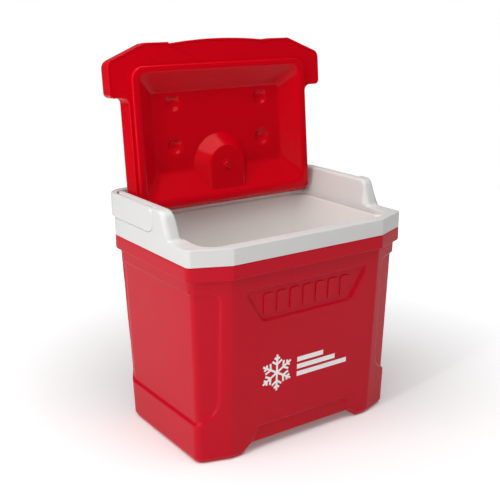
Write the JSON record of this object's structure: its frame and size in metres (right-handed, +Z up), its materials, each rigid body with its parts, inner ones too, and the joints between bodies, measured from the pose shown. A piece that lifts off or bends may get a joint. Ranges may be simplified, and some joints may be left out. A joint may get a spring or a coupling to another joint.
{
  "type": "hard cooler",
  "caption": "Hard-sided personal cooler with an insulated body, white rim, hinged lid and folding bail handle.",
  "frame": {"origin": "on the floor under the middle of the whole cooler, with the lid open and the handle folded back", "axes": "+X to the right as seen from the front, +Y to the rear where the lid is hinged, +Z up"},
  "size_m": [0.365, 0.2533, 0.5499],
  "materials": {
    "red_shell": "satin",
    "red_lid": "gloss",
    "white_rim": "satin",
    "white_liner": "satin",
    "white_handle": "satin",
    "white_pin": "satin",
    "foam": "matte",
    "print_ink": "matte"
  },
  "bodies": {
    "body": {"outer_shell": "red_shell", "shell_foam": "foam", "base_foam_plug": "red_shell", "inner_liner": "white_liner", "rim_collar": "white_rim", "front_emblem": "print_ink"},
    "lid": {"lid_cover": "red_lid", "lid_foam": "foam", "lid_pan": "red_lid", "lid_foam_plug": "red_lid", "lid_hinge_pin_left": "white_pin", "lid_hinge_pin_right": "white_pin"},
    "handle": {"bail_handle": "white_handle", "handle_pin_left": "white_pin", "handle_pin_right": "white_pin"}
  },
  "joints": [
    {"name": "lid_hinge", "type": "hinge", "parent": "body", "child": "lid", "pos_m": [0, 0.0909, 0.32], "axis": [1, 0, 0], "range_deg": [0, 95.2]},
    {"name": "handle_swing", "type": "hinge", "parent": "body", "child": "handle", "pos_m": [0, -0.0007, 0.3253], "axis": [1, 0, 0], "range_deg": [0, 90]}
  ],
  "couplings": [
    {"joint": "handle_swing", "follows": "lid_hinge", "ratio": 0.94537}
  ]
}
